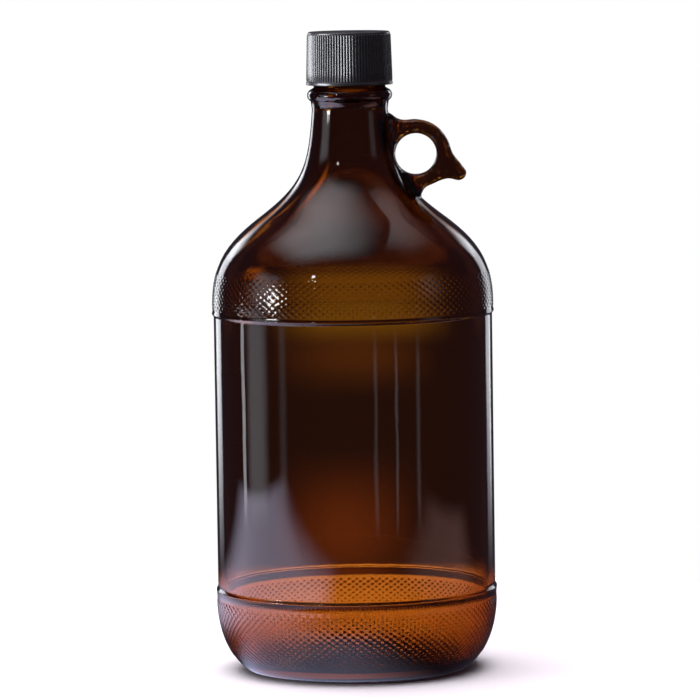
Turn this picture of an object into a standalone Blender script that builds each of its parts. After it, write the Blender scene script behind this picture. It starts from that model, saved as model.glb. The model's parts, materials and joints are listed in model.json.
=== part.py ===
"""Two-litre glass growler: a screw-capped jug with a finger ring moulded on its neck.

The jug stands on the XY plane with its axis on +Z and its finger ring towards +X. It is one glass
moulding. A cone liner closes its mouth, held down by a ribbed screw cap.
"""
from math import atan2, cos, hypot, pi, radians, sin

import bmesh
import bpy
from mathutils import Matrix, Vector

MM = 0.001
MERGE = 0.00001
CLEARANCE = 0.3 * MM

# Jug: radii of the body and heights stacked up from the surface it stands on.
BODY_RADIUS = 64.5 * MM
PANEL_RECESS = 0.8 * MM
WALL = 3.8 * MM
BASE_THICKNESS = 5.0 * MM
HEEL_RING_HEIGHT = 38.1 * MM
HEEL_CURVE_HEIGHT = 33.0 * MM
PANEL_HEIGHT = 125.8 * MM
SHOULDER_BAND = 4.1 * MM
SHOULDER_RISE = 90.2 * MM
SHOULDER_SLOPE = radians(53)
BEARING_RADIUS = 48.0 * MM
BEARING_WIDTH = 5.0 * MM
PUSH_UP = 6.5 * MM

# Neck, transfer bead and threaded finish.
NECK_RADIUS = 17.2 * MM
NECK_LEAN = radians(4)
BEAD_SECTION = 3.0 * MM
FINISH_RADIUS = 16.4 * MM
FINISH_WALL = 4.0 * MM
FINISH_HEIGHT = 25.1 * MM
RIM_ROUND = 1.2 * MM

# Screw thread shared by the finish and the cap: six turns to the inch.
THREAD_PITCH = 25.4 * MM / 6
THREAD_DEPTH = 1.0 * MM
JUG_THREAD_SECTION = 1.15 * MM
JUG_THREAD_TURNS = 1.75
CAP_THREAD_SECTION = 0.9 * MM
CAP_THREAD_TURNS = 1.5
THREAD_START = 3.5 * MM
THREAD_POINTS_PER_TURN = 24

# Finger ring and thumb spur.
RING_HOLE_RADIUS = 9.4 * MM
RING_SECTION = 6.4 * MM
RING_THICKNESS = 9.6 * MM
RING_ROUNDING = 2.1 * MM
RING_OFFSET = 3.2 * MM
RING_DROP = 22.0 * MM
SPUR_REACH = 23.0 * MM
SPUR_DROP = 8.7 * MM
SPUR_THICKNESS = 5.0 * MM

# Cap and liner.
CAP_WALL = 1.05 * MM
CAP_TOP = 2.0 * MM
CAP_FLARE = 0.65 * MM
CAP_RIM_HEIGHT = 1.4 * MM
CAP_CHAMFER = 0.9 * MM
CAP_BEAD_GAP = 1.7 * MM
RIB_COUNT = 90
RIB_DEPTH = 0.35 * MM
LINER_FLANGE = 1.2 * MM
LINER_WALL = 0.8 * MM
LINER_CONE_DEPTH = 9.0 * MM
LINER_TIP_RADIUS = 5.5 * MM

JUG_STEPS = 48
CAP_STEPS = 2 * RIB_COUNT
BORE_STEPS = 48

# Heights and radii that follow from the sizes above.
PANEL_RADIUS = BODY_RADIUS - PANEL_RECESS
INNER_OFFSET = PANEL_RECESS + WALL
SHOULDER_RING_Z = HEEL_RING_HEIGHT + PANEL_HEIGHT
SHOULDER_START_Z = SHOULDER_RING_Z + SHOULDER_BAND
NECK_Z = SHOULDER_START_Z + SHOULDER_RISE
BEAD_Z = NECK_Z + 1.75 * BEAD_SECTION
RIM_Z = BEAD_Z + FINISH_HEIGHT
BORE_RADIUS = FINISH_RADIUS - FINISH_WALL
LINER_SEAT_Z = RIM_Z + CLEARANCE
CAP_CEILING_Z = LINER_SEAT_Z + LINER_FLANGE + CLEARANCE
CAP_TOP_Z = CAP_CEILING_Z + CAP_TOP
CAP_BOTTOM_Z = BEAD_Z + BEAD_SECTION + CAP_BEAD_GAP
CAP_BORE_RADIUS = FINISH_RADIUS + THREAD_DEPTH + CLEARANCE
CAP_TOP_RADIUS = CAP_BORE_RADIUS + CAP_WALL + RIB_DEPTH
CAP_RIM_RADIUS = CAP_TOP_RADIUS + CAP_FLARE


def clear_scene():
    for item in list(bpy.data.objects):
        bpy.data.objects.remove(item, do_unlink=True)


def new_collection(name):
    group = bpy.data.collections.new(name)
    bpy.context.scene.collection.children.link(group)
    return group


def principled(name, colour, roughness, transmission=0.0):
    material = bpy.data.materials.new(name)
    material.use_nodes = True
    shader = material.node_tree.nodes["Principled BSDF"]
    shader.inputs["Base Color"].default_value = (*colour, 1.0)
    shader.inputs["Roughness"].default_value = roughness
    shader.inputs["Metallic"].default_value = 0.0
    shader.inputs["Transmission Weight"].default_value = transmission
    material.diffuse_color = (*colour, 1.0)
    return material


def bezier(start, start_handle, end_handle, end, count):
    """Points of one cubic stretch, both ends included."""
    points = []
    for i in range(count + 1):
        t = i / count
        s = 1 - t
        near = s**3 * start + 3 * s * s * t * start_handle
        points.append(near + 3 * s * t * t * end_handle + t**3 * end)
    return points


def arc(centre, radius, start, end, count):
    """Points of a circular arc between two angles in radians, both ends included."""
    angles = [start + (end - start) * i / count for i in range(count + 1)]
    return [centre + radius * Vector((cos(a), sin(a))) for a in angles]


def shoulder_curve():
    """From the neck down to the shoulder band, steepest where the two stretches meet."""
    drop = BODY_RADIUS - NECK_RADIUS
    turn = Vector((NECK_RADIUS + 0.524 * drop, NECK_Z - 0.556 * SHOULDER_RISE))
    slope = Vector((sin(SHOULDER_SLOPE), -cos(SHOULDER_SLOPE)))
    neck = Vector((NECK_RADIUS, NECK_Z))
    band = Vector((BODY_RADIUS, SHOULDER_START_Z))
    neck_handle = neck + 0.31 * SHOULDER_RISE * Vector((sin(NECK_LEAN), -cos(NECK_LEAN)))
    band_handle = band + Vector((0, 0.222 * SHOULDER_RISE))
    upper = bezier(neck, neck_handle, turn - 0.277 * SHOULDER_RISE * slope, turn, 7)
    lower = bezier(turn, turn + 0.2 * SHOULDER_RISE * slope, band_handle, band, 7)
    return upper + lower[1:]


def heel_curve():
    """From the heel band round under the jug to its bearing ring."""
    band = Vector((BODY_RADIUS, HEEL_CURVE_HEIGHT))
    band_handle = band - Vector((0, 0.65 * HEEL_CURVE_HEIGHT))
    foot = Vector((BEARING_RADIUS, 0))
    foot_handle = foot + Vector((BEARING_WIDTH, 0))
    return bezier(band, band_handle, foot_handle, foot, 8)


def inset(points, distance):
    """A curve that runs down the outside, moved into the glass square to itself."""
    moved = []
    for i, point in enumerate(points):
        before = points[max(i - 1, 0)]
        after = points[min(i + 1, len(points) - 1)]
        along = (after - before).normalized()
        moved.append(point + distance * Vector((along.y, -along.x)))
    return moved


def jug_profile():
    """Outside of the jug, from the middle of the mouth down to the middle of the base."""
    finish_round = arc(Vector((FINISH_RADIUS - RIM_ROUND, RIM_Z - RIM_ROUND)), RIM_ROUND, pi / 2, 0, 3)
    bead_centre = Vector((FINISH_RADIUS, BEAD_Z))
    bead = arc(bead_centre, BEAD_SECTION, radians(72), radians(-68), 7)
    bevel = 0.5 * PANEL_RECESS
    points = [Vector((0, RIM_Z))]
    points += finish_round
    points.append(Vector((FINISH_RADIUS, BEAD_Z + 1.15 * BEAD_SECTION)))
    points += bead
    points += shoulder_curve()
    points.append(Vector((BODY_RADIUS, SHOULDER_RING_Z + bevel)))
    points.append(Vector((PANEL_RADIUS, SHOULDER_RING_Z - bevel)))
    points.append(Vector((PANEL_RADIUS, HEEL_RING_HEIGHT + bevel)))
    points.append(Vector((BODY_RADIUS, HEEL_RING_HEIGHT - bevel)))
    points += heel_curve()
    points.append(Vector((BEARING_RADIUS - BEARING_WIDTH, 0)))
    points.append(Vector((0.8 * BEARING_RADIUS, 0.3 * PUSH_UP)))
    points.append(Vector((0.45 * BEARING_RADIUS, 0.85 * PUSH_UP)))
    points.append(Vector((0, PUSH_UP)))
    return points


def cavity_profile():
    """Inside of the jug, from above the mouth down to the floor over the push-up."""
    past_rim = 2 * RIM_ROUND
    points = [Vector((0, RIM_Z + past_rim))]
    points.append(Vector((BORE_RADIUS + 0.5 * RIM_ROUND, RIM_Z + past_rim)))
    points.append(Vector((BORE_RADIUS + 0.5 * RIM_ROUND, RIM_Z)))
    points.append(Vector((BORE_RADIUS, RIM_Z - RIM_ROUND)))
    points.append(Vector((BORE_RADIUS, BEAD_Z)))
    points += inset(shoulder_curve(), INNER_OFFSET)
    points += inset(heel_curve(), INNER_OFFSET)[:-1]
    points.append(Vector((BEARING_RADIUS - BEARING_WIDTH, BASE_THICKNESS)))
    points.append(Vector((0.45 * BEARING_RADIUS, 0.85 * PUSH_UP + BASE_THICKNESS)))
    points.append(Vector((0, PUSH_UP + BASE_THICKNESS)))
    return points


def turned(name, profile, steps, group):
    """A profile in the XZ plane, radius along X, turned about Z."""
    mesh = bpy.data.meshes.new(name)
    edges = [(i, i + 1) for i in range(len(profile) - 1)]
    mesh.from_pydata([(p.x, 0, p.y) for p in profile], edges, [])
    item = bpy.data.objects.new(name, mesh)
    group.objects.link(item)
    screw = item.modifiers.new("Turn", "SCREW")
    screw.steps = steps
    screw.render_steps = steps
    screw.use_merge_vertices = True
    screw.merge_threshold = MERGE
    return item


def made_mesh(source, name, group):
    """A mesh object from an evaluated one, with loose caps welded and its faces pointing out."""
    bpy.context.view_layer.update()
    evaluated = source.evaluated_get(bpy.context.evaluated_depsgraph_get())
    mesh = bpy.data.meshes.new_from_object(evaluated)
    work = bmesh.new()
    work.from_mesh(mesh)
    bmesh.ops.remove_doubles(work, verts=work.verts, dist=MERGE)
    bmesh.ops.recalc_face_normals(work, faces=work.faces)
    work.to_mesh(mesh)
    work.free()
    mesh.name = name
    item = bpy.data.objects.new(name, mesh)
    item.matrix_world = source.matrix_world
    group.objects.link(item)
    bpy.data.objects.remove(source, do_unlink=True)
    return item


def thread(name, centre_radius, section, top_z, turns, group):
    """A round right-hand bead on a helix that ends at top_z, thinned away at both ends."""
    count = round(turns * THREAD_POINTS_PER_TURN)
    run_out = THREAD_POINTS_PER_TURN // 6
    data = bpy.data.curves.new(name, "CURVE")
    data.dimensions = "3D"
    data.bevel_depth = section
    data.bevel_resolution = 2
    data.use_fill_caps = True
    spline = data.splines.new("POLY")
    spline.points.add(count)
    for i, point in enumerate(spline.points):
        turn = i / THREAD_POINTS_PER_TURN
        height = top_z - (turns - turn) * THREAD_PITCH
        angle = 2 * pi * (turn - turns)
        point.co = (centre_radius * cos(angle), centre_radius * sin(angle), height, 1)
        point.radius = min(1, 0.4 + 0.6 * min(i, count - i) / run_out)
    curve = bpy.data.objects.new(name, data)
    group.objects.link(curve)
    return made_mesh(curve, name + "_solid", group)


def combine(item, operand, operation):
    cut = item.modifiers.new(operand.name, "BOOLEAN")
    cut.operation = operation
    cut.solver = "EXACT"
    cut.object = operand


def hide_operand(item):
    item.hide_render = True
    item.display_type = "WIRE"


def shoulder_height(radius):
    """Height of the jug's outside at a radius between the neck and the body."""
    curve = shoulder_curve()
    for upper, lower in zip(curve, curve[1:]):
        if upper.x <= radius <= lower.x:
            share = (radius - upper.x) / (lower.x - upper.x)
            return upper.y + share * (lower.y - upper.y)
    return curve[-1].y


def ring_outline(centre):
    """Points round the finger ring, its spur and its roots, clockwise, and whether each is a corner."""
    outer = RING_HOLE_RADIUS + RING_SECTION
    inside = NECK_RADIUS - 2 * FINISH_WALL

    def on_ring(share, degrees):
        return centre + share * outer * Vector((cos(radians(degrees)), sin(radians(degrees))))

    tip = centre + Vector((SPUR_REACH, -SPUR_DROP))
    flank_z = centre.y + 1.2 * outer
    root_x = centre.x + 0.14 * outer
    root_z = shoulder_height(root_x) - 0.7 * WALL
    return [
        (Vector((inside, flank_z)), True),
        (Vector((NECK_RADIUS, flank_z)), False),
        (on_ring(1.09, 114), False),
        (on_ring(0.99, 85), False),
        (on_ring(0.99, 57), False),
        (on_ring(1.0, 27), False),
        (tip + SPUR_REACH * Vector((-0.26, 0.37)), False),
        (tip + SPUR_REACH * Vector((-0.06, 0.1)), False),
        (tip, False),
        (tip + SPUR_THICKNESS * Vector((-0.42, -0.66)), False),
        (tip + SPUR_THICKNESS * Vector((-1.75, -0.56)), False),
        (on_ring(1.0, -60), False),
        (on_ring(1.05, -78), False),
        (Vector((root_x, root_z)), True),
        (Vector((inside, root_z)), True),
    ]


def cyclic_spline(data, points, resolution):
    spline = data.splines.new("BEZIER")
    spline.resolution_u = resolution
    spline.bezier_points.add(len(points) - 1)
    for knot, (point, corner) in zip(spline.bezier_points, points):
        knot.co = (*point, 0)
        knot.handle_left_type = "VECTOR" if corner else "AUTO"
        knot.handle_right_type = "VECTOR" if corner else "AUTO"
    spline.use_cyclic_u = True


def finger_ring(group):
    """Flat outline with its finger hole, thickened in Y and rounded all round."""
    centre = Vector((NECK_RADIUS + RING_OFFSET + RING_HOLE_RADIUS, NECK_Z - RING_DROP))
    data = bpy.data.curves.new("finger_ring", "CURVE")
    data.dimensions = "2D"
    data.fill_mode = "BOTH"
    data.extrude = 0.5 * RING_THICKNESS - RING_ROUNDING
    data.bevel_depth = RING_ROUNDING
    data.bevel_resolution = 1
    data.offset = -RING_ROUNDING
    cyclic_spline(data, ring_outline(centre), 3)
    quarters = [Vector((cos(i * pi / 2), sin(i * pi / 2))) for i in range(4)]
    cyclic_spline(data, [(centre + RING_HOLE_RADIUS * out, False) for out in quarters], 5)
    curve = bpy.data.objects.new("finger_ring", data)
    curve.matrix_world = Matrix.Rotation(pi / 2, 4, "X")
    group.objects.link(curve)
    return made_mesh(curve, "finger_ring_solid", group)


def make_jug(parts, cutters):
    jug = turned("jug", jug_profile(), JUG_STEPS, parts)
    ring = finger_ring(cutters)
    thread_radius = FINISH_RADIUS + THREAD_DEPTH - JUG_THREAD_SECTION
    thread_top = RIM_Z - THREAD_START
    bead = thread("jug_thread", thread_radius, JUG_THREAD_SECTION, thread_top, JUG_THREAD_TURNS, cutters)
    cavity = turned("jug_cavity", cavity_profile(), JUG_STEPS, cutters)
    combine(jug, ring, "UNION")
    combine(jug, bead, "UNION")
    combine(jug, cavity, "DIFFERENCE")
    for operand in (ring, bead, cavity):
        hide_operand(operand)
    jug.data.materials.append(principled("amber_glass", (0.16, 0.05, 0.012), 0.05, 0.9))
    return jug


def make_liner(parts):
    """Flange under the cap's ceiling with a hollow cone that wedges into the mouth."""
    flange = CAP_BORE_RADIUS - CLEARANCE
    cone = BORE_RADIUS - CLEARANCE
    seat = LINER_SEAT_Z
    top = seat + LINER_FLANGE
    tip_z = seat - LINER_CONE_DEPTH
    points = [
        Vector((0, tip_z + LINER_WALL)),
        Vector((LINER_TIP_RADIUS - LINER_WALL, tip_z + LINER_WALL)),
        Vector((cone - LINER_WALL, top)),
        Vector((flange, top)),
        Vector((flange, seat)),
        Vector((cone, seat)),
        Vector((LINER_TIP_RADIUS, tip_z)),
        Vector((0, tip_z)),
    ]
    liner = turned("cone_liner", points, BORE_STEPS, parts)
    liner.data.materials.append(principled("liner_plastic", (0.82, 0.82, 0.78), 0.4))
    return liner


def cap_shell(parts):
    """Outside of the cap, with every second column of the ribbed band pressed in."""
    shoulder = CAP_TOP_Z - CAP_CHAMFER
    rib_foot = CAP_BOTTOM_Z + CAP_RIM_HEIGHT
    profile = [
        Vector((0, CAP_TOP_Z)),
        Vector((CAP_TOP_RADIUS - RIB_DEPTH - CAP_CHAMFER, CAP_TOP_Z)),
        Vector((CAP_TOP_RADIUS - RIB_DEPTH, shoulder)),
        Vector((CAP_TOP_RADIUS, shoulder - RIB_DEPTH)),
        Vector((CAP_RIM_RADIUS, rib_foot + RIB_DEPTH)),
        Vector((CAP_RIM_RADIUS, rib_foot)),
        Vector((CAP_RIM_RADIUS, CAP_BOTTOM_Z)),
        Vector((0, CAP_BOTTOM_Z)),
    ]
    shell = made_mesh(turned("cap_blank", profile, CAP_STEPS, parts), "screw_cap", parts)
    margin = 0.5 * RIB_DEPTH
    for vertex in shell.data.vertices:
        ribbed = rib_foot + margin < vertex.co.z < shoulder - margin
        column = round(atan2(vertex.co.y, vertex.co.x) * CAP_STEPS / (2 * pi))
        if ribbed and column % 2:
            reach = hypot(vertex.co.x, vertex.co.y)
            vertex.co.x *= 1 - RIB_DEPTH / reach
            vertex.co.y *= 1 - RIB_DEPTH / reach
    return shell


def make_cap(parts, cutters):
    cap = cap_shell(parts)
    below = CAP_BOTTOM_Z - CAP_RIM_HEIGHT
    lead_in = 0.3 * CAP_WALL
    bore_profile = [
        Vector((0, CAP_CEILING_Z)),
        Vector((CAP_BORE_RADIUS, CAP_CEILING_Z)),
        Vector((CAP_BORE_RADIUS, CAP_BOTTOM_Z + 2 * lead_in)),
        Vector((CAP_BORE_RADIUS + lead_in, CAP_BOTTOM_Z)),
        Vector((CAP_BORE_RADIUS + lead_in, below)),
        Vector((0, below)),
    ]
    bore = turned("cap_bore", bore_profile, BORE_STEPS, cutters)
    thread_radius = FINISH_RADIUS + CLEARANCE + CAP_THREAD_SECTION
    thread_top = RIM_Z - THREAD_START - THREAD_PITCH / 2
    bead = thread("cap_thread", thread_radius, CAP_THREAD_SECTION, thread_top, CAP_THREAD_TURNS, cutters)
    combine(cap, bore, "DIFFERENCE")
    combine(cap, bead, "UNION")
    for operand in (bore, bead):
        hide_operand(operand)
    cap.data.materials.append(principled("cap_plastic", (0.012, 0.012, 0.013), 0.38))
    return cap


def shade(item):
    item.data.shade_smooth()
    item.data.set_sharp_from_angle(angle=radians(35))


def build():
    clear_scene()
    parts = new_collection("growler")
    cutters = new_collection("growler_cutters")
    for item in (make_jug(parts, cutters), make_liner(parts), make_cap(parts, cutters)):
        shade(item)


build()
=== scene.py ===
import json
from math import atan2, cos, hypot, pi, radians, sin

import bpy
from mathutils import Matrix, Vector

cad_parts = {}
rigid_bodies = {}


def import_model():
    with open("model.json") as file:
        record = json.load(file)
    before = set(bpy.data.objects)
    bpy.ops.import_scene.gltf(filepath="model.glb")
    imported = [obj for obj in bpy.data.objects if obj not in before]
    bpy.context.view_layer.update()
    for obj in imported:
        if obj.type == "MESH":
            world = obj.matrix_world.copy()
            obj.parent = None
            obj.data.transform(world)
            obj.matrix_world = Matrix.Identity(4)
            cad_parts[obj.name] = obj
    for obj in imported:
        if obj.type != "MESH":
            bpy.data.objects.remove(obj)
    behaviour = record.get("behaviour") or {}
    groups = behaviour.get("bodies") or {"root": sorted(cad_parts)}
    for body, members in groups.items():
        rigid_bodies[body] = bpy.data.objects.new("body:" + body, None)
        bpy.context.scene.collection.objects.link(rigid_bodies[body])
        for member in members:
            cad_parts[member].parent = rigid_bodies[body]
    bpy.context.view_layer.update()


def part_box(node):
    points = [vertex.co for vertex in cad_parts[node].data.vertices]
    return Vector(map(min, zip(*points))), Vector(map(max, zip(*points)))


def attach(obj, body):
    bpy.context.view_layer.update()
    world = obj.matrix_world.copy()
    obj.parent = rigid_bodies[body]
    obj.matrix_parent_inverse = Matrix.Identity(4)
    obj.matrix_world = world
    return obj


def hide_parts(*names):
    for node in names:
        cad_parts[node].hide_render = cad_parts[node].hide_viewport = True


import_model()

# --- Jug -------------------------------------------------------------------------------------
# One blown and pressed moulding in amber container glass. Its outline is turned here as the glass
# sits in the mould: finish with its screw thread, transfer bead, neck, round shoulder, plain label
# panel between two knurled bands, and a heel that runs under to the bearing ring and the push-up.
MM = 0.001
jug_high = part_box("jug")[1]
body_radius = jug_high.x
rim_z = jug_high.z
panel_recess = 0.8 * MM
wall = 4.6 * MM
neck_radius = 17.2 * MM
finish_radius = 16.4 * MM
bore_radius = 12.4 * MM
bead_z = rim_z - 25.1 * MM
neck_z = bead_z - 5.25 * MM
shoulder_ring_z = 163.9 * MM
heel_ring_z = 38.1 * MM
shoulder_z = shoulder_ring_z + 4.1 * MM
heel_z = 33.0 * MM
push_up = 6.5 * MM

columns_per_stud = 4
studs_round = 106
jug_columns = columns_per_stud * studs_round
stud_height = 0.3 * MM
stud_row = 1.42 * MM
knurl_radius = body_radius - stud_height
knurl_least_radius = 50 * MM
row_match = 0.01 * MM
seam_merge = 0.002 * MM


def curve_points(start, start_handle, end_handle, end, count):
    """Points of one smooth stretch of an outline, both ends included."""
    points = []
    for i in range(count + 1):
        t = i / count
        s = 1 - t
        near = s**3 * start + 3 * s * s * t * start_handle
        points.append(near + 3 * s * t * t * end_handle + t**3 * end)
    return points


def arc_points(centre, radius, start, end, count):
    """Points of a round stretch between two angles in degrees, both ends included."""
    angles = [radians(start + (end - start) * i / count) for i in range(count + 1)]
    return [centre + radius * Vector((cos(a), sin(a))) for a in angles]


def spaced(points, spacing, start=0.0, stop=None):
    """Points set off at an even spacing along an outline, from start to stop in metres."""
    placed = []
    run = 0.0
    wanted = start
    for a, b in zip(points, points[1:]):
        length = (b - a).length
        while wanted <= run + length + 1e-9 and (stop is None or wanted <= stop + 1e-9):
            placed.append(a + (b - a) * ((wanted - run) / length))
            wanted += spacing
        run += length
    return placed


def outline_length(points):
    return sum((b - a).length for a, b in zip(points, points[1:]))


def shoulder_outline(radius):
    """From the band at the given radius up over the shoulder to the foot of the neck."""
    drop = body_radius - neck_radius
    turn = Vector((neck_radius + 0.524 * drop, neck_z - 0.556 * (neck_z - shoulder_z)))
    rise = neck_z - shoulder_z
    slope = Vector((-sin(radians(53)), cos(radians(53))))
    band = Vector((radius, shoulder_z))
    neck = Vector((neck_radius, neck_z))
    lower = curve_points(band, band + Vector((0, 0.222 * rise)), turn - 0.2 * rise * slope, turn, 60)
    lean = Vector((sin(radians(4)), -cos(radians(4))))
    upper = curve_points(turn, turn + 0.277 * rise * slope, neck + 0.31 * rise * lean, neck, 60)
    return lower + upper[1:]


def heel_outline(radius):
    """From the bearing ring round the heel up to the band at the given radius."""
    foot = Vector((48 * MM, 0))
    band = Vector((radius, heel_z))
    return curve_points(foot, foot + Vector((5 * MM, 0)), band - Vector((0, 0.65 * heel_z)), band, 80)


def inset(points, distance):
    """An outline that runs up the outside, moved into the glass square to itself."""
    moved = []
    for i, point in enumerate(points):
        along = (points[min(i + 1, len(points) - 1)] - points[max(i - 1, 0)]).normalized()
        moved.append(point + distance * Vector((-along.y, along.x)))
    return moved


def turned(name, outline, columns):
    """One corner drawn along an outline, radius in x and height in y, and spun about the axis."""
    bpy.ops.object.select_all(action="DESELECT")
    bpy.ops.mesh.primitive_plane_add(size=MM, location=(0, 0, 0))
    piece = bpy.context.object
    piece.name = name
    piece.data.name = name
    bpy.ops.object.mode_set(mode="EDIT")
    bpy.ops.mesh.select_all(action="SELECT")
    bpy.ops.mesh.merge(type="CENTER")
    bpy.ops.transform.translate(value=(outline[0].x, 0, outline[0].y))
    for here, there in zip(outline, outline[1:]):
        step = there - here
        bpy.ops.mesh.extrude_region_move(TRANSFORM_OT_translate={"value": (step.x, 0, step.y)})
    bpy.ops.mesh.select_all(action="SELECT")
    bpy.ops.mesh.spin(steps=columns, angle=2 * pi, center=(0, 0, 0), axis=(0, 0, 1))
    bpy.ops.mesh.select_all(action="SELECT")
    bpy.ops.mesh.remove_doubles(threshold=seam_merge)
    bpy.ops.mesh.normals_make_consistent(inside=False)
    bpy.ops.object.mode_set(mode="OBJECT")
    return piece


def apply_modifier(piece, modifier):
    bpy.ops.object.select_all(action="DESELECT")
    bpy.context.view_layer.objects.active = piece
    piece.select_set(True)
    bpy.ops.object.modifier_apply(modifier=modifier.name)


def raise_group(piece, group_name, height):
    """Push the vertices of a group out along their normals, each by its weight's share of height."""
    lift = piece.modifiers.new(group_name, "DISPLACE")
    lift.vertex_group = group_name
    lift.strength = height
    lift.mid_level = 0
    apply_modifier(piece, lift)


half_row = stud_row / 2
heel_path = heel_outline(knurl_radius) + [Vector((knurl_radius, 36.3 * MM))]
heel_studs_start = 11.5 * MM
heel_stud_steps = 40
heel_studs = spaced(heel_path, half_row, heel_studs_start, heel_studs_start + heel_stud_steps * half_row)
shoulder_path = [Vector((knurl_radius, 165.2 * MM))] + shoulder_outline(knurl_radius)
shoulder_studs_start = 0.4 * MM
shoulder_stud_steps = 26
shoulder_studs_end = shoulder_studs_start + shoulder_stud_steps * half_row
shoulder_studs = spaced(shoulder_path, half_row, shoulder_studs_start, shoulder_studs_end)
whole_shoulder = outline_length(shoulder_path)
near_ring = whole_shoulder - 58 * MM
shoulder_top = spaced(shoulder_path, 3.6 * MM, shoulder_studs_end + 1.5 * MM, near_ring - 2 * MM)
shoulder_top += spaced(shoulder_path, 1.9 * MM, near_ring)
bead_steps = ((0.1, 1.1), (0, 0.9), (0, 0.5), (0.2, 0.1))
heel_bead = [Vector((body_radius - d * MM, heel_ring_z - z * MM)) for d, z in bead_steps]
shoulder_bead = [Vector((body_radius - d * MM, shoulder_ring_z + z * MM)) for d, z in bead_steps[::-1]]
panel_radius = body_radius - panel_recess
panel = [
    Vector((panel_radius, heel_ring_z + 0.35 * MM)), Vector((panel_radius, heel_ring_z + MM)),
    Vector((panel_radius, shoulder_ring_z - MM)), Vector((panel_radius, shoulder_ring_z - 0.35 * MM)),
]
bead = arc_points(Vector((finish_radius, bead_z)), 3.0 * MM, -62, 66, 10)
thread_top_z = rim_z - 3.5 * MM
thread_turns = 1.75
thread_pitch = 25.4 * MM / 6
thread_depth = 1.0 * MM
thread_half_width = 1.15 * MM
thread_margin = 1.6 * MM
thread_rows = 24
thread_low_z = thread_top_z - thread_turns * thread_pitch - thread_margin
thread_step = (thread_top_z + thread_margin - thread_low_z) / thread_rows
finish = [Vector((finish_radius, bead_z + rise * MM)) for rise in (3.5, 6)]
finish += [Vector((finish_radius, thread_low_z + i * thread_step)) for i in range(thread_rows + 1)]
rim = arc_points(Vector((finish_radius - 1.3 * MM, rim_z - 1.3 * MM)), 1.3 * MM, 0, 90, 5)
mouth = arc_points(Vector((bore_radius + 1.1 * MM, rim_z - 1.1 * MM)), 1.1 * MM, 90, 180, 4)
underside = curve_points(
    Vector((0, push_up)), Vector((24 * MM, push_up)), Vector((36 * MM, 0.8 * MM)), Vector((43 * MM, 0)), 10
)
jug_outside = (
    underside + spaced(heel_path, 2.9 * MM, 0, heel_studs_start - 1.5 * MM) + heel_studs + heel_bead + panel
    + shoulder_bead + shoulder_studs + shoulder_top + bead + finish + rim + mouth
)
inner_shoulder = spaced(inset(shoulder_outline(body_radius), wall), 5 * MM)
inner_heel = spaced(inset(heel_outline(body_radius), wall), 4 * MM)
floor_rise = push_up + 5 * MM
floor = curve_points(
    inner_heel[0] - Vector((2.5 * MM, 0.1 * MM)), Vector((36 * MM, 5.2 * MM)),
    Vector((24 * MM, floor_rise)), Vector((0, floor_rise)), 9,
)
jug_inside = (
    [Vector((bore_radius, z)) for z in (rim_z - 4 * MM, bead_z)] + inner_shoulder[::-1]
    + [Vector((body_radius - wall, z * MM)) for z in (130, 90, 60)] + inner_heel[::-1] + floor
)
jug = turned("growler_jug", jug_outside, jug_columns)
jug_cavity = turned("growler_cavity", jug_inside, jug_columns // 2)


def joined(piece, others):
    """Join pieces into one mesh, the others' faces after the piece's own."""
    bpy.ops.object.select_all(action="DESELECT")
    for other in others:
        other.select_set(True)
    piece.select_set(True)
    bpy.context.view_layer.objects.active = piece
    bpy.ops.object.join()


joined(jug, [jug_cavity])
bpy.ops.object.mode_set(mode="EDIT")
bpy.ops.mesh.select_all(action="DESELECT")
bpy.ops.mesh.select_mode(type="EDGE")
bpy.ops.mesh.select_non_manifold(
    extend=False, use_multi_face=False, use_non_contiguous=False, use_verts=False,
)
bpy.ops.mesh.bridge_edge_loops()
bpy.ops.mesh.select_all(action="SELECT")
bpy.ops.mesh.normals_make_consistent(inside=False)
bpy.ops.object.mode_set(mode="OBJECT")


def weigh(piece, group_name, weight_at):
    """A vertex group filled by a function of each vertex's place."""
    group = piece.vertex_groups.new(name=group_name)
    for vertex in piece.data.vertices:
        share = weight_at(vertex.co)
        if share > 0.002:
            group.add([vertex.index], share, "REPLACE")


# The knurl's studs are low pyramids set like the squares of one colour on a chessboard, and each
# band fades out over a row at its edges, as the mould's punched pattern does.
stud_rows = {}
for band, relief in ((heel_studs, 0.9), (shoulder_studs, 0.6)):
    for count, point in enumerate(band):
        fade = relief * min(1.0, count / 3, (len(band) - 1 - count) / 3)
        stud_rows[round(point.y / row_match)] = (count, fade)


def stud_share(place):
    row = stud_rows.get(round(place.z / row_match))
    if row is None or hypot(place.x, place.y) < knurl_least_radius:
        return 0
    count, fade = row
    around = studs_round * atan2(place.y, place.x)
    return fade * ((1 + cos(around) * cos(count * pi / 2)) / 2) ** 2.2


def thread_share(place, top_z, turns, half_width, at_radius):
    """Height of a helical bead at a place, thinned away over a sixth of a turn at both ends."""
    if abs(hypot(place.x, place.y) - at_radius) > 0.02 * MM:
        return 0
    angle = atan2(place.y, place.x) % (2 * pi)
    best = 0
    for turn in range(-3, 1):
        swept = turn + angle / (2 * pi)
        ends = min(1.0, -6 * swept, 6 * (turns + swept))
        off = abs(place.z - (top_z + swept * thread_pitch)) / half_width
        if ends > 0 and off < 1:
            best = max(best, ends * (1 - off**2) ** 0.8)
    return best


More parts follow.
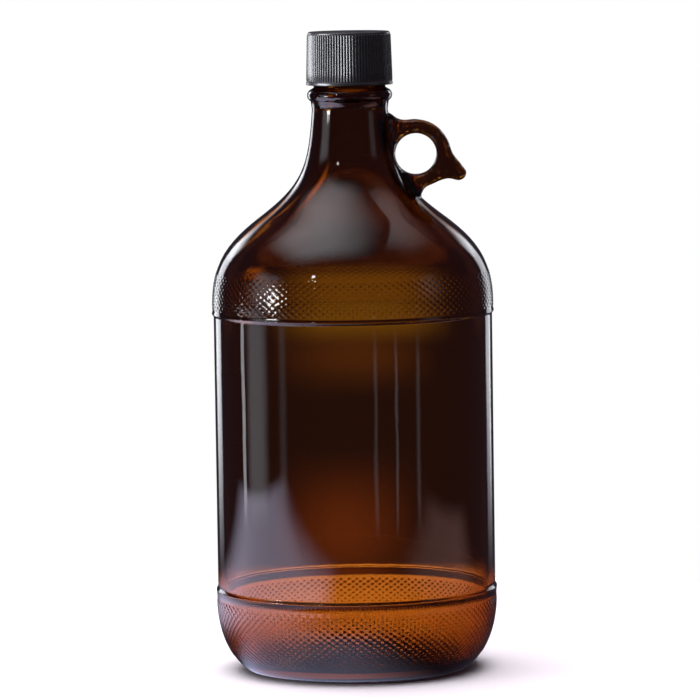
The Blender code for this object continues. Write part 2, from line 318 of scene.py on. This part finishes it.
row_of = jug.data.attributes.new("knurl_row", "FLOAT", "POINT")
fade_of = jug.data.attributes.new("knurl_fade", "FLOAT", "POINT")
for vertex, row_value, fade_value in zip(jug.data.vertices, row_of.data, fade_of.data):
    if hypot(vertex.co.x, vertex.co.y) > knurl_least_radius:
        row_value.value, fade_value.value = stud_rows.get(round(vertex.co.z / row_match), (0, 0))
weigh(jug, "knurl", stud_share)
raise_group(jug, "knurl", stud_height)
weigh(
    jug, "thread",
    lambda place: thread_share(place, thread_top_z, thread_turns, thread_half_width, finish_radius),
)
raise_group(jug, "thread", thread_depth)


# --- Finger ring -----------------------------------------------------------------------------
# The ring with its thumb spur is pressed in the same mould and fused to the neck and shoulder, so it
# is drawn flat, rounded at its edges and melted into the jug's glass, with a fillet along the seam.
ring_hole_radius = 9.4 * MM
ring_section = 6.4 * MM
ring_thickness = 9.6 * MM
ring_rounding = 2.3 * MM
ring_outer = ring_hole_radius + ring_section
ring_centre = Vector((29.8 * MM, 236.2 * MM))
spur_reach = 23 * MM
spur_thickness = 5 * MM
spur_tip = ring_centre + Vector((spur_reach, -8.7 * MM))


def on_ring(share, degrees):
    return ring_centre + share * ring_outer * Vector((cos(radians(degrees)), sin(radians(degrees))))


# The outline's hidden side runs up the middle of the jug's wall, so no ring glass enters the cavity.
middle_of_wall = inset(shoulder_outline(body_radius), 0.5 * wall)
root_x = ring_centre.x + 0.14 * ring_outer
flank_z = ring_centre.y + 1.2 * ring_outer
hidden_side = spaced([p for p in middle_of_wall if p.x <= root_x and p.y <= flank_z], 6 * MM)
ring_outline = [
    (Vector((neck_radius - 0.5 * wall, flank_z)), True),
    (Vector((neck_radius, flank_z)), False),
    (on_ring(1.09, 114), False), (on_ring(0.99, 85), False),
    (on_ring(0.99, 57), False), (on_ring(1.0, 27), False),
    (spur_tip + spur_reach * Vector((-0.26, 0.37)), False),
    (spur_tip + spur_reach * Vector((-0.06, 0.1)), False),
    (spur_tip, False),
    (spur_tip + spur_thickness * Vector((-0.42, -0.66)), False),
    (spur_tip + spur_thickness * Vector((-1.75, -0.56)), False),
    (on_ring(1.0, -60), False), (on_ring(1.05, -78), False),
] + [(place, True) for place in hidden_side]
bpy.ops.object.select_all(action="DESELECT")
bpy.ops.curve.primitive_bezier_circle_add(radius=ring_hole_radius, location=(0, 0, 0))
ring = bpy.context.object
ring.name = "growler_ring"
ring.data.dimensions = "2D"
ring.data.fill_mode = "BOTH"
ring.data.resolution_u = 16
ring.data.extrude = ring_thickness / 2 - ring_rounding
ring.data.bevel_depth = ring_rounding
ring.data.bevel_resolution = 5
ring.data.offset = -ring_rounding
for point in ring.data.splines[0].bezier_points:
    for part in ("co", "handle_left", "handle_right"):
        setattr(point, part, getattr(point, part) + Vector((ring_centre.x, ring_centre.y, 0)))
rim_line = ring.data.splines.new("BEZIER")
rim_line.use_cyclic_u = True
rim_line.bezier_points.add(len(ring_outline) - 1)
for point, (place, corner) in zip(rim_line.bezier_points, ring_outline):
    point.co = (place.x, place.y, 0)
    point.handle_left_type = point.handle_right_type = "VECTOR" if corner else "AUTO"
bpy.ops.transform.rotate(value=-pi / 2, orient_axis="X", center_override=(0, 0, 0))
bpy.ops.object.convert(target="MESH")
bpy.ops.object.transform_apply(location=True, rotation=True, scale=True)
rounding = ring.modifiers.new("rounding", "REMESH")
rounding.mode = "VOXEL"
rounding.voxel_size = 0.55 * MM
apply_modifier(ring, rounding)
soften = ring.modifiers.new("soften", "SMOOTH")
soften.factor = 0.5
soften.iterations = 6
apply_modifier(ring, soften)

neck_profile = shoulder_outline(body_radius)


def jug_radius_at(z):
    """Outer radius of the shoulder and neck at a height."""
    for low, high in zip(neck_profile, neck_profile[1:]):
        if low.y <= z <= high.y:
            return low.x + (high.x - low.x) * (z - low.y) / (high.y - low.y)
    return neck_profile[-1].x


# Glass flows into the corner between the ring's sides and the neck, widest at the neck's surface,
# and thins by one factor for each reach away from it.
fillet_width = 2.6 * MM
fillet_reach = 2.2 * MM
fillet_decay = 2.718
for vertex in ring.data.vertices:
    place = vertex.co
    stand_off = max(0.0, hypot(place.x, place.y) - jug_radius_at(place.z))
    side = max(-1.0, min(1.0, place.y / (ring_thickness / 2)))
    place.y += fillet_width * side * abs(side) * fillet_decay ** (-stand_off / fillet_reach)

jug.data.materials.append(bpy.data.materials.new("amber_glass"))
ring.data.materials.append(bpy.data.materials.new("amber_ring_glass"))
union = jug.modifiers.new("ring", "BOOLEAN")
union.operation = "UNION"
union.solver = "EXACT"
union.material_mode = "TRANSFER"
union.object = ring
apply_modifier(jug, union)
bpy.data.objects.remove(ring)

# The seam's vertices are relaxed a little, so that the fillet runs out without an edge.
sides_of = {}
for face in jug.data.polygons:
    for vertex in face.vertices:
        sides_of.setdefault(vertex, set()).add(face.material_index)
bpy.ops.object.select_all(action="DESELECT")
jug.select_set(True)
bpy.context.view_layer.objects.active = jug
bpy.ops.object.mode_set(mode="EDIT")
bpy.ops.mesh.select_mode(type="VERT")
bpy.ops.mesh.select_all(action="DESELECT")
bpy.ops.object.mode_set(mode="OBJECT")
for vertex in jug.data.vertices:
    vertex.select = len(sides_of.get(vertex.index, ())) > 1
bpy.ops.object.mode_set(mode="EDIT")
bpy.ops.mesh.select_more()
bpy.ops.mesh.vertices_smooth(factor=0.5, repeat=3)
bpy.ops.mesh.select_all(action="SELECT")
bpy.ops.mesh.dissolve_degenerate(threshold=seam_merge)
bpy.ops.object.mode_set(mode="OBJECT")
for face in jug.data.polygons:
    face.material_index = 0
jug.data.materials.pop(index=1)
bpy.ops.object.shade_smooth()


def principled(material, name, **sockets):
    """A Principled shader in a material, with its own sockets set by name."""
    material.use_nodes = True
    shader = material.node_tree.nodes["Principled BSDF"]
    shader.label = name
    for socket, value in sockets.items():
        shader.inputs[socket.replace("_", " ")].default_value = value
    return shader


def noise_on(material, scale, detail, stretch=(1, 1, 1)):
    """Noise read from the piece's own coordinates, stretched along its axes."""
    nodes, links = material.node_tree.nodes, material.node_tree.links
    place = nodes.new("ShaderNodeTexCoord")
    mapping = nodes.new("ShaderNodeMapping")
    mapping.inputs["Scale"].default_value = stretch
    grain = nodes.new("ShaderNodeTexNoise")
    grain.inputs["Scale"].default_value = scale
    grain.inputs["Detail"].default_value = detail
    links.new(place.outputs["Object"], mapping.inputs["Vector"])
    links.new(mapping.outputs["Vector"], grain.inputs["Vector"])
    return grain


def ranged(material, source, low, high, socket):
    """A 0 to 1 value spread between two limits and put on a shader's socket."""
    spread = material.node_tree.nodes.new("ShaderNodeMapRange")
    spread.inputs["From Min"].default_value = 0.3
    spread.inputs["From Max"].default_value = 0.7
    spread.inputs["To Min"].default_value = low
    spread.inputs["To Max"].default_value = high
    material.node_tree.links.new(source, spread.inputs["Value"])
    material.node_tree.links.new(spread.outputs["Result"], socket)


def bumped(material, source, strength, distance, shader):
    bump = material.node_tree.nodes.new("ShaderNodeBump")
    bump.inputs["Strength"].default_value = strength
    bump.inputs["Distance"].default_value = distance
    material.node_tree.links.new(source, bump.inputs["Height"])
    material.node_tree.links.new(bump.outputs["Normal"], shader.inputs["Normal"])


# Amber glass: clear at the surface, and coloured by what its iron and sulphur take out on the way
# through. Blown walls are a little wavy, and the mould leaves the skin slightly uneven in gloss.
amber = jug.data.materials[0]
glass = principled(amber, "glass", Base_Color=(1, 1, 1, 1), Transmission_Weight=1.0, IOR=1.52)
skin_gloss = noise_on(amber, 90, 3)
ranged(amber, skin_gloss.outputs["Fac"], 0.006, 0.03, glass.inputs["Roughness"])
waves = noise_on(amber, 45, 2, stretch=(1, 1, 0.35))


def worked(material, operation, *values):
    """A Math node whose inputs are sockets or plain numbers."""
    node = material.node_tree.nodes.new("ShaderNodeMath")
    node.operation = operation
    for slot, value in zip(node.inputs, values):
        if isinstance(value, (int, float)):
            slot.default_value = value
        else:
            material.node_tree.links.new(value, slot)
    return node.outputs["Value"]


def attribute(material, name):
    node = material.node_tree.nodes.new("ShaderNodeAttribute")
    node.attribute_name = name
    return node.outputs["Fac"]


# The studs' points are finer than the mesh, so the shader sharpens them: round the axis they follow
# the angle, and up the wall the row number that each vertex carries.
spot = amber.node_tree.nodes.new("ShaderNodeTexCoord")
spot_parts = amber.node_tree.nodes.new("ShaderNodeSeparateXYZ")
amber.node_tree.links.new(spot.outputs["Object"], spot_parts.inputs["Vector"])
angle_round = worked(amber, "ARCTAN2", spot_parts.outputs["Y"], spot_parts.outputs["X"])
round_wave = worked(amber, "COSINE", worked(amber, "MULTIPLY", angle_round, studs_round))
row_wave = worked(amber, "COSINE", worked(amber, "MULTIPLY", attribute(amber, "knurl_row"), pi / 2))
checks = worked(amber, "MULTIPLY_ADD", worked(amber, "MULTIPLY", round_wave, row_wave), 0.5, 0.5)
points = worked(amber, "MULTIPLY", worked(amber, "POWER", checks, 3), attribute(amber, "knurl_fade"))
surface = worked(amber, "MULTIPLY_ADD", points, 0.8, waves.outputs["Fac"])
bumped(amber, surface, 0.3, 0.0005, glass)
tint = amber.node_tree.nodes.new("ShaderNodeVolumeAbsorption")
tint.inputs["Color"].default_value = (0.808, 0.58, 0.07, 1)
tint.inputs["Density"].default_value = 700
amber.node_tree.links.new(tint.outputs["Volume"], amber.node_tree.nodes["Material Output"].inputs["Volume"])
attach(jug, "jug")
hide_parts("jug")

# --- Cone liner ------------------------------------------------------------------------------
# The seal inside the cap, one soft off-white moulding: a flange that the cap clamps on the rim, and
# a hollow cone that wedges into the mouth. It is turned as one thin wall with rounded edges.
liner_low, liner_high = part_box("cone_liner")
liner_wall = 0.8 * MM
liner_flange = 1.2 * MM
liner_edge = 0.35 * MM
flange_radius = liner_high.x
liner_seat_z = liner_high.z - liner_flange
cone_radius = bore_radius - 0.3 * MM
tip_radius = 5.5 * MM
liner_outline = (
    [Vector((0, liner_low.z)), Vector((tip_radius - 2 * liner_edge, liner_low.z))]
    + arc_points(Vector((tip_radius - liner_edge, liner_low.z + liner_edge)), liner_edge, -70, -20, 3)
    + [Vector((cone_radius - 0.3 * MM, liner_seat_z - 0.8 * MM))]
    + [Vector((cone_radius, liner_seat_z - 0.2 * MM)), Vector((cone_radius + 0.4 * MM, liner_seat_z))]
    + arc_points(Vector((flange_radius - liner_edge, liner_seat_z + liner_edge)), liner_edge, -80, 0, 4)
    + arc_points(Vector((flange_radius - liner_edge, liner_high.z - liner_edge)), liner_edge, 0, 80, 4)
    + [Vector((cone_radius + 0.4 * MM, liner_high.z)), Vector((cone_radius - 0.5 * MM, liner_high.z))]
    + [Vector((cone_radius - liner_wall, liner_high.z - 0.5 * MM))]
    + [Vector((tip_radius - liner_wall, liner_low.z + 2 * liner_wall))]
    + [Vector((tip_radius - 2 * liner_wall, liner_low.z + liner_wall))]
    + [Vector((0, liner_low.z + liner_wall))]
)
liner = turned("sealing_cone", liner_outline, 128)
bpy.ops.object.shade_smooth_by_angle(angle=radians(40))
liner_plastic = bpy.data.materials.new("liner_plastic")
liner.data.materials.append(liner_plastic)
soft_plastic = principled(
    liner_plastic, "soft plastic", Base_Color=(0.82, 0.81, 0.77, 1), IOR=1.5,
    Subsurface_Weight=0.15, Subsurface_Scale=0.002,
)
liner_grain = noise_on(liner_plastic, 400, 4)
ranged(liner_plastic, liner_grain.outputs["Fac"], 0.32, 0.5, soft_plastic.inputs["Roughness"])
bumped(liner_plastic, liner_grain.outputs["Fac"], 0.1, 0.0002, soft_plastic)
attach(liner, "liner")
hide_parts("cone_liner")

# --- Screw cap -------------------------------------------------------------------------------
# A black polypropylene moulding. It is turned round its bore, its ninety grip ribs are raised from
# the straight of the skirt above a plain rim, and its thread bead is raised inside the bore.
cap_low, cap_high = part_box("screw_cap")
rib_count = 90
columns_per_rib = 8
rib_depth = 0.35 * MM
cap_flare = 0.65 * MM
cap_rim_radius = cap_high.x
cap_top_radius = cap_rim_radius - cap_flare
cap_bore = finish_radius + thread_depth + 0.3 * MM
cap_ceiling_z = cap_high.z - 2 * MM
cap_rim_top_z = cap_low.z + 1.4 * MM
cap_thread_top_z = thread_top_z - thread_pitch / 2
cap_thread_turns = 1.5
cap_thread_half_width = 0.9 * MM
cap_thread_margin = 1.2 * MM
cap_thread_low_z = cap_thread_top_z - cap_thread_turns * thread_pitch - cap_thread_margin
cap_thread_rows = 18
cap_thread_step = (cap_thread_top_z + cap_thread_margin - cap_thread_low_z) / cap_thread_rows
skirt_edge = 0.3 * MM
top_edge = 0.9 * MM


def skirt_radius(z):
    """Radius at the foot of the ribs: the skirt widens a little towards its rim for the mould."""
    share = (cap_high.z - top_edge - z) / (cap_high.z - top_edge - cap_rim_top_z)
    return cap_top_radius - rib_depth + cap_flare * max(0.0, share)


rib_top_z = cap_high.z - top_edge - 0.1 * MM
rib_row = 0.15 * MM
rib_rows = [cap_rim_top_z + rib_row + i * rib_row for i in range(4)]
rib_rows += [cap_rim_top_z + share * (rib_top_z - cap_rim_top_z) for share in (0.2, 0.5, 0.8)]
rib_rows += [rib_top_z - 0.6 * MM + i * rib_row for i in range(5)]
cap_outline = (
    [Vector((0, cap_ceiling_z)), Vector((cap_bore - 3 * MM, cap_ceiling_z))]
    + arc_points(Vector((cap_bore - 0.5 * MM, cap_ceiling_z - 0.5 * MM)), 0.5 * MM, 90, 0, 4)
    + [Vector((cap_bore, cap_thread_low_z + i * cap_thread_step)) for i in range(cap_thread_rows, -1, -1)]
    + [Vector((cap_bore, cap_low.z + 0.7 * MM)), Vector((cap_bore + 0.3 * MM, cap_low.z + 0.1 * MM))]
    + [Vector((cap_bore + 0.45 * MM, cap_low.z)), Vector((cap_rim_radius - skirt_edge, cap_low.z))]
    + arc_points(Vector((cap_rim_radius - skirt_edge, cap_low.z + skirt_edge)), skirt_edge, -70, 0, 4)
    + [Vector((cap_rim_radius, cap_rim_top_z - rib_row))]
    + [Vector((cap_rim_radius - 0.1 * MM, cap_rim_top_z))]
    + [Vector((skirt_radius(z), z)) for z in rib_rows]
    + arc_points(
        Vector((cap_top_radius - rib_depth - top_edge, cap_high.z - top_edge)), top_edge, 8, 90, 8
    )
    + [Vector((16 * MM, cap_high.z)), Vector((15.7 * MM, cap_high.z - 0.12 * MM))]
    + [Vector((1.6 * MM, cap_high.z - 0.22 * MM)), Vector((1.4 * MM, cap_high.z - 0.1 * MM))]
    + [Vector((0, cap_high.z - 0.1 * MM))]
)
cap = turned("growler_cap", cap_outline, rib_count * columns_per_rib)
rib_low, rib_high = rib_rows[0], rib_rows[-1]
rib_fade = 0.5 * MM


def rib_share(place):
    """Rounded ribs: full over half of the pitch, and run out at the rim and at the cap's shoulder."""
    if not rib_low <= place.z <= rib_high + 0.01 * MM or hypot(place.x, place.y) < cap_bore + 0.5 * MM:
        return 0
    fade = min(1.0, (place.z - rib_low) / rib_fade, (rib_high - place.z) / rib_fade)
    wave = (1 + cos(rib_count * atan2(place.y, place.x))) / 2
    return max(0.0, fade) * wave**0.6


weigh(cap, "ribs", rib_share)
raise_group(cap, "ribs", rib_depth)
weigh(
    cap, "cap_thread",
    lambda place: thread_share(place, cap_thread_top_z, cap_thread_turns, cap_thread_half_width, cap_bore),
)
raise_group(cap, "cap_thread", thread_depth)
bpy.ops.object.shade_smooth_by_angle(angle=radians(50))
cap_plastic = bpy.data.materials.new("cap_plastic")
cap.data.materials.append(cap_plastic)
black_plastic = principled(cap_plastic, "black plastic", IOR=1.49)
cap_grain = noise_on(cap_plastic, 90, 2)
ranged(cap_plastic, cap_grain.outputs["Fac"], 0.26, 0.29, black_plastic.inputs["Roughness"])
bumped(cap_plastic, cap_grain.outputs["Fac"], 0.02, 0.00002, black_plastic)
handling = noise_on(cap_plastic, 60, 3)
shades = cap_plastic.node_tree.nodes.new("ShaderNodeValToRGB")
shades.color_ramp.elements[0].position = 0.35
shades.color_ramp.elements[0].color = (0.012, 0.012, 0.013, 1)
shades.color_ramp.elements[1].position = 0.7
shades.color_ramp.elements[1].color = (0.017, 0.017, 0.018, 1)
cap_plastic.node_tree.links.new(handling.outputs["Fac"], shades.inputs["Fac"])
cap_plastic.node_tree.links.new(shades.outputs["Color"], black_plastic.inputs["Base Color"])
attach(cap, "cap")
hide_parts("screw_cap")

# --- Floor -----------------------------------------------------------------------------------
# A round of pale board that the growler stands on. It fades out into a white room, which lights
# nothing much by itself: to everything but the camera the room is dim, as a dark studio is.
floor_radius = 0.27
floor_centre = Vector((0, 0.07, 0))
bpy.ops.object.select_all(action="DESELECT")
bpy.ops.mesh.primitive_circle_add(
    radius=floor_radius, vertices=96, fill_type="NGON", location=floor_centre,
)
board = bpy.context.object
board.name = "floor"
bpy.ops.object.transform_apply(location=True, rotation=True, scale=True)
pale = bpy.data.materials.new("pale_board")
board.data.materials.append(pale)
paper = principled(pale, "board", Base_Color=(0.82, 0.82, 0.84, 1), Roughness=0.7)
pale_nodes, pale_links = pale.node_tree.nodes, pale.node_tree.links
board_place = pale_nodes.new("ShaderNodeTexCoord")
centred = pale_nodes.new("ShaderNodeMapping")
centred.inputs["Location"].default_value = -floor_centre
distance = pale_nodes.new("ShaderNodeVectorMath")
distance.operation = "LENGTH"
edge = pale_nodes.new("ShaderNodeMapRange")
edge.interpolation_type = "SMOOTHSTEP"
edge.inputs["From Min"].default_value = 0.65 * floor_radius
edge.inputs["From Max"].default_value = floor_radius
clear = pale_nodes.new("ShaderNodeBsdfTransparent")
blend = pale_nodes.new("ShaderNodeMixShader")
pale_links.new(board_place.outputs["Object"], centred.inputs["Vector"])
pale_links.new(centred.outputs["Vector"], distance.inputs[0])
pale_links.new(distance.outputs["Value"], edge.inputs["Value"])
pale_links.new(edge.outputs["Result"], blend.inputs["Fac"])
pale_links.new(paper.outputs["BSDF"], blend.inputs[1])
pale_links.new(clear.outputs["BSDF"], blend.inputs[2])
pale_links.new(blend.outputs["Shader"], pale_nodes["Material Output"].inputs["Surface"])
board.visible_glossy = False

room = bpy.data.worlds.new("room")
bpy.context.scene.world = room
room.use_nodes = True
room_nodes, room_links = room.node_tree.nodes, room.node_tree.links
background = room_nodes["Background"]
seen = room_nodes.new("ShaderNodeLightPath")
walls = room_nodes.new("ShaderNodeMix")
walls.data_type = "RGBA"
walls.inputs["A"].default_value = (0.042, 0.034, 0.05, 1)
walls.inputs["B"].default_value = (1, 1, 1, 1)
room_links.new(seen.outputs["Is Camera Ray"], walls.inputs["Factor"])
room_links.new(walls.outputs["Result"], background.inputs["Color"])

# --- Lights ----------------------------------------------------------------------------------
# Soft boxes, each given by the brightness of its face, with faces that fade out at their edges.
# The wide wash lights the board. The rest are what the glass and the cap mirror, or what is seen
# through the glass, and each is hidden from the rays it isn't meant for.


def soft_box(name, place, aim, size, brightness, colour=(1, 1, 1), fade=(0.5, 0.5), unseen=()):
    """A soft box at a place, aimed at another; fade is the share of its width and height that fades."""
    lamp = bpy.data.lights.new(name, "AREA")
    lamp.shape = "RECTANGLE"
    lamp.size, lamp.size_y = size
    lamp.energy = brightness * pi * size[0] * size[1]
    lamp.color = colour
    lamp.use_nodes = True
    nodes, links = lamp.node_tree.nodes, lamp.node_tree.links
    face = nodes.new("ShaderNodeNewGeometry")
    across = nodes.new("ShaderNodeSeparateXYZ")
    links.new(face.outputs["Parametric"], across.inputs["Vector"])
    level = None
    for axis, share in zip("XY", fade):
        fold = nodes.new("ShaderNodeMath")
        fold.operation = "PINGPONG"
        fold.inputs[1].default_value = 0.5
        links.new(across.outputs[axis], fold.inputs[0])
        ramp = nodes.new("ShaderNodeMapRange")
        ramp.interpolation_type = "SMOOTHSTEP"
        ramp.inputs["From Max"].default_value = max(0.001, share / 2)
        links.new(fold.outputs["Value"], ramp.inputs["Value"])
        if level is None:
            level = ramp.outputs["Result"]
        else:
            both = nodes.new("ShaderNodeMath")
            both.operation = "MULTIPLY"
            links.new(level, both.inputs[0])
            links.new(ramp.outputs["Result"], both.inputs[1])
            level = both.outputs["Value"]
    links.new(level, nodes["Emission"].inputs["Strength"])
    box = bpy.data.objects.new(name, lamp)
    bpy.context.scene.collection.objects.link(box)
    box.location = place
    box.rotation_euler = (Vector(aim) - Vector(place)).to_track_quat("-Z", "Y").to_euler()
    box.visible_camera = False
    for ray in unseen:
        setattr(box, "visible_" + ray, False)
    return box


mirrored = ("diffuse", "transmission")
lavender = (0.8, 0.74, 1.0)
daylight = (0.92, 0.94, 1.0)
soft_box(
    "floor_wash", (-0.15, 0.1, 1.0), (-0.15, 0.1, 0), (1.6, 1.6), 7.2, (0.97, 0.89, 0.95),
    unseen=("glossy", "transmission"),
)
soft_box("key_left", (-0.83, -0.34, 0.25), (0, 0, 0.18), (0.2, 0.2), 24, unseen=("transmission",))
soft_box("glint", (-0.42, -0.6, 0.66), (0, 0, 0.24), (0.05, 0.06), 30, unseen=mirrored)

# Each row below is a box's name, place, aim, size, brightness and fade.
sky_boxes = (
    ("overhead", (-0.38, 0.05, 1.25), (-0.38, 0.05, 0), (1.5, 1.6), 2.15, (0.9, 0.8)),
    ("overhead_right", (0.3, 0.25, 1.25), (0.3, 0.25, 0), (1.4, 1.2), 0.8, (0.9, 0.9)),
    ("neck_left", (-0.534, -0.133, 0.32), (0, 0, 0.25), (0.36, 0.34), 1.2, (0.7, 0.6)),
    ("neck_right", (0.5, -0.23, 0.33), (0, 0, 0.25), (0.25, 0.3), 0.35, (0.8, 0.6)),
    ("edge_left", (-0.5, 0.75, 0.25), (0, 0, 0.15), (0.3, 0.7), 3.0, (0.5, 0.5)),
    ("edge_right", (0.5, 0.75, 0.25), (0, 0, 0.15), (0.3, 0.7), 1.8, (0.5, 0.5)),
    ("rim_left", (-0.52, 0.85, 0.52), (0, 0, 0.2), (0.4, 0.34), 2.0, (0.7, 0.7)),
    ("rim_right", (0.52, 0.85, 0.52), (0, 0, 0.2), (0.4, 0.34), 1.3, (0.7, 0.7)),
)
for name, middle, aim, size, brightness, fade in sky_boxes:
    soft_box(name, middle, aim, size, brightness, daylight, fade, mirrored)

# The glass doesn't mirror the board itself. These panels, flush with it, stand in for it: they put
# daylight from the left into the jug's heel and panel, and leave the right dark.
# Each row is a panel's name, middle, size, brightness, colour and fade.
table_z = MM
table_panels = (
    ("table_left", (-0.43, -0.1), (0.7, 0.8), 3.0, lavender, (0.3, 0.6)),
    ("table_right", (0.46, -0.15), (0.5, 0.6), 0.8, (1, 0.55, 0.5), (0.6, 0.7)),
    ("table_front", (-0.045, -0.06), (0.17, 0.12), 1.4, (0.6, 0.66, 1.0), (0.6, 0.4)),
)
for name, (x, y), size, brightness, colour, fade in table_panels:
    soft_box(name, (x, y, table_z), (x, y, 1), size, brightness, colour, fade, mirrored)

# Cards behind, seen only through the glass, make its shoulder and its foot glow. Each row is a
# card's name, middle, size, brightness, colour and fade.
cards = (
    ("behind_shoulder", (0.006, 0.15, 0.161), (0.12, 0.052), 0.52, (0.75, 1, 0.4), 0.7),
    ("behind_panel", (0, 0.8, 0.075), (0.2, 0.07), 0.15, (1, 0.8, 0.5), 1),
    ("behind_foot", (-0.008, 0.4, 0.01), (0.13, 0.1), 0.26, (1, 0.5, 0.3), 1),
    ("behind_left", (-0.13, 0.8, 0.155), (0.07, 0.09), 1.3, (1, 1, 0.8), 1),
    ("gold_left", (-0.23, 0.8, 0.385), (0.17, 0.17), 5.0, (0.52, 1, 0.4), 0.6),
    ("gold_right", (0.3, 0.8, 0.44), (0.15, 0.15), 1.7, (0.5, 1, 0.4), 0.6),
)
for name, middle, size, brightness, colour, fade in cards:
    aim = (middle[0], 0, middle[2])
    soft_box(name, middle, aim, size, brightness, colour, (fade, fade), ("diffuse", "glossy"))

# One box lights the cap alone: black plastic needs far more light than the glass beside it.
cap_key = soft_box("cap_key", (-0.81, -0.2, 0.38), (0, 0, 0.28), (0.6, 0.5), 22, daylight, (0.1, 0.4))
cap_only = bpy.data.collections.new("cap_only")
cap_only.objects.link(cap)
cap_key.light_linking.receiver_collection = cap_only

# Low, narrow strips stand round the jug, and draw the upright lines in its panel.
# Each row is a strip's name, bearing in degrees from the camera's side, width, height, brightness and fade.
strips = (
    ("strip_far_left", -99, 0.05, 0.17, 3.6, 0.5),
    ("strip_left", -83, 0.27, 0.16, 1.1, 0.7),
    ("strip_mid_left", -58, 0.1, 0.14, 0.35, 1.0),
    ("strip_edge_right", 148, 0.03, 0.16, 1.3, 0.8),
    ("strip_right", 16.5, 0.045, 0.12, 0.5, 1.0),
    ("strip_mid_right", 33, 0.035, 0.12, 0.7, 0.9),
    ("strip_far_right", 51, 0.05, 0.12, 0.5, 1.0),
)
strip_distance = 0.55
for name, bearing, width, height, brightness, fade in strips:
    turn = radians(bearing)
    foot = Vector((sin(turn), -cos(turn), 0)) * strip_distance
    middle = foot + Vector((0, 0, height / 2))
    aim = (0, 0, height / 2)
    soft_box(name, middle, aim, (width, height), brightness, daylight, (fade, 0.4), mirrored)

# --- Camera ----------------------------------------------------------------------------------
# A long lens a little above the jug's middle height, looking slightly down, with a small roll.
camera_place = Vector((0, -2.28, 0.361))
camera_aim = Vector((-1.54 * MM, 0, 146.6 * MM))
camera_roll = radians(0.85)
eye = bpy.data.cameras.new("camera")
eye.lens = 257.1
eye.sensor_width = 36
camera = bpy.data.objects.new("camera", eye)
bpy.context.scene.collection.objects.link(camera)
forward = (camera_aim - camera_place).normalized()
right = forward.cross(Vector((0, 0, 1))).normalized()
up = right.cross(forward)
rolled_up = up * cos(camera_roll) + right * sin(camera_roll)
rolled_right = right * cos(camera_roll) - up * sin(camera_roll)
axes = Matrix((rolled_right, rolled_up, -forward)).transposed()
camera.matrix_world = Matrix.Translation(camera_place) @ axes.to_4x4()
bpy.context.scene.camera = camera
bpy.context.scene.view_settings.view_transform = "Standard"
